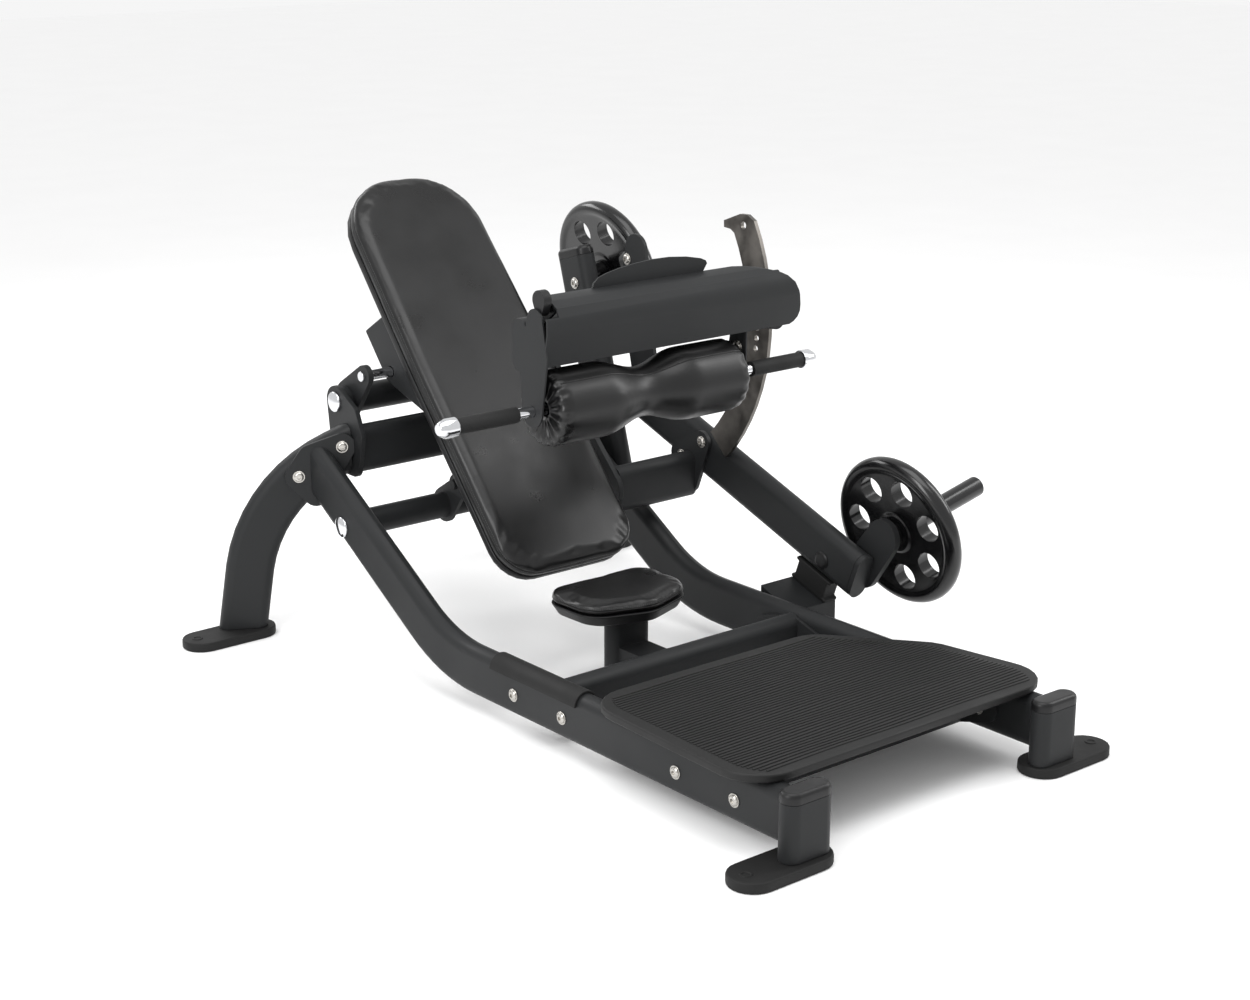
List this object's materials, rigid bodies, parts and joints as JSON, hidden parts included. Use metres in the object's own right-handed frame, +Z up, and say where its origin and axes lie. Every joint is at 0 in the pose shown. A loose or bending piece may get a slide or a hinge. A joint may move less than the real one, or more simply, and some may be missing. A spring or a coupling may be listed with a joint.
{
  "type": "plate-loaded hip thrust machine",
  "caption": "Plate-loaded hip thrust machine: tubular frame, reclining back pad on a parallelogram, pegged weight lever, adjustable roller pad arm and ribbed foot platform.",
  "frame": {"origin": "On the floor, under the middle of the whole machine's bounding box", "axes": "+X is the user's left, the weight arm's side; +Y runs from the foot platform back to the pivots; +Z is up"},
  "size_m": [1.5272, 1.8876, 1.0491],
  "materials": {
    "frame_paint": "matte charcoal powder coat, fine texture",
    "chrome_steel": "polished chrome",
    "raw_steel": "raw steel, faintly warm",
    "vinyl": "semi-gloss black upholstery vinyl",
    "plate_enamel": "gloss black enamel",
    "black_rubber": "matte black rubber",
    "black_plastic": "satin moulded plastic"
  },
  "bodies": {
    "base": {"left_side_rail": "frame_paint", "right_side_rail": "frame_paint", "left_arch_leg": "frame_paint", "right_arch_leg": "frame_paint", "left_rail_flange": "frame_paint", "right_rail_flange": "frame_paint", "left_front_leg": "frame_paint", "right_front_leg": "frame_paint", "left_front_leg_cap": "black_plastic", "right_front_leg_cap": "black_plastic", "left_front_foot": "black_rubber", "right_front_foot": "black_rubber", "left_rear_foot": "black_rubber", "right_rear_foot": "black_rubber", "rear_crossbar": "frame_paint", "left_ear_plate": "frame_paint", "right_ear_plate": "frame_paint", "seat_crossmember": "frame_paint", "platform_crossmember": "frame_paint", "upper_axle": "chrome_steel", "lower_axle": "chrome_steel", "seat_post": "frame_paint", "seat_pad": "vinyl", "foot_platform": "black_rubber", "rail_guard": "black_rubber", "bumper_post": "frame_paint", "bumper_block": "black_rubber", "storage_post_cap": "black_plastic", "storage_post": "frame_paint", "storage_peg": "chrome_steel"},
    "lever": {"lever_sleeve": "frame_paint", "left_crank": "frame_paint", "right_crank": "frame_paint", "carriage_shaft": "chrome_steel", "lever_side_plate": "frame_paint", "lever_cross_beam": "frame_paint", "weight_arm": "frame_paint", "peg_bracket": "frame_paint", "weight_peg": "chrome_steel", "sector_plate": "raw_steel", "roller_arm_bracket": "frame_paint", "arm_pivot_bolt": "chrome_steel"},
    "roller_arm": {"roller_arm": "frame_paint", "shroud": "frame_paint", "right_end_plate": "frame_paint", "roller_axle": "chrome_steel", "left_grip": "black_rubber", "right_grip": "black_rubber"},
    "roller": {"roller_pad": "vinyl"},
    "latch": {"release_lever": "black_plastic"},
    "pin": {"pull_pin": "raw_steel"},
    "carriage": {"back_pad": "vinyl", "pad_board": "black_plastic", "left_upper_lug": "frame_paint", "right_upper_lug": "frame_paint", "left_lower_lug": "frame_paint", "right_lower_lug": "frame_paint"},
    "rocker": {"rocker": "frame_paint"},
    "working_plate": {"working_plate": "plate_enamel"},
    "stored_plate": {"stored_plate": "plate_enamel"}
  },
  "joints": [
    {"name": "lever_swing", "type": "hinge", "parent": "base", "child": "lever", "pos_m": [-0.0866, 0.76621, 0.557], "axis": [-1, 0, 0], "range_deg": [0, 22]},
    {"name": "carriage_pivot", "type": "hinge", "parent": "lever", "child": "carriage", "pos_m": [-0.0866, 0.69121, 0.627], "axis": [-1, 0, 0], "range_deg": [-22, 0]},
    {"name": "rocker_swing", "type": "hinge", "parent": "base", "child": "rocker", "pos_m": [-0.0866, 0.60921, 0.303], "axis": [-1, 0, 0], "range_deg": [0, 22]},
    {"name": "roller_arm_adjust", "type": "hinge", "parent": "lever", "child": "roller_arm", "pos_m": [-0.0866, 0.57721, 0.753], "axis": [-1, 0, 0], "range_deg": [-12.6, 9.45]},
    {"name": "roller_spin", "type": "hinge", "parent": "roller_arm", "child": "roller", "pos_m": [-0.0866, -0.00179, 0.682], "axis": [-1, 0, 0], "continuous": true},
    {"name": "release_swing", "type": "hinge", "parent": "roller_arm", "child": "latch", "pos_m": [-0.0866, -0.02079, 0.898], "axis": [-1, 0, 0], "range_deg": [0, 20], "stiffness_Nm_per_rad": 3, "springref_deg": -20.05},
    {"name": "pin_slide", "type": "slide", "parent": "roller_arm", "child": "pin", "axis": [-1, 0, 0], "range_m": [0, 0.0121]},
    {"name": "working_plate_slide", "type": "slide", "parent": "lever", "child": "working_plate", "axis": [0.9751, 0, 0.2215], "range_m": [0, 0.28]},
    {"name": "stored_plate_slide", "type": "slide", "parent": "base", "child": "stored_plate", "axis": [0.9751, 0, 0.2215], "range_m": [0, 0.08]}
  ],
  "couplings": [
    {"joint": "carriage_pivot", "follows": "lever_swing", "ratio": -1},
    {"joint": "rocker_swing", "follows": "lever_swing", "ratio": 1},
    {"joint": "pin_slide", "follows": "release_swing", "m_per_rad": 0.0344}
  ]
}
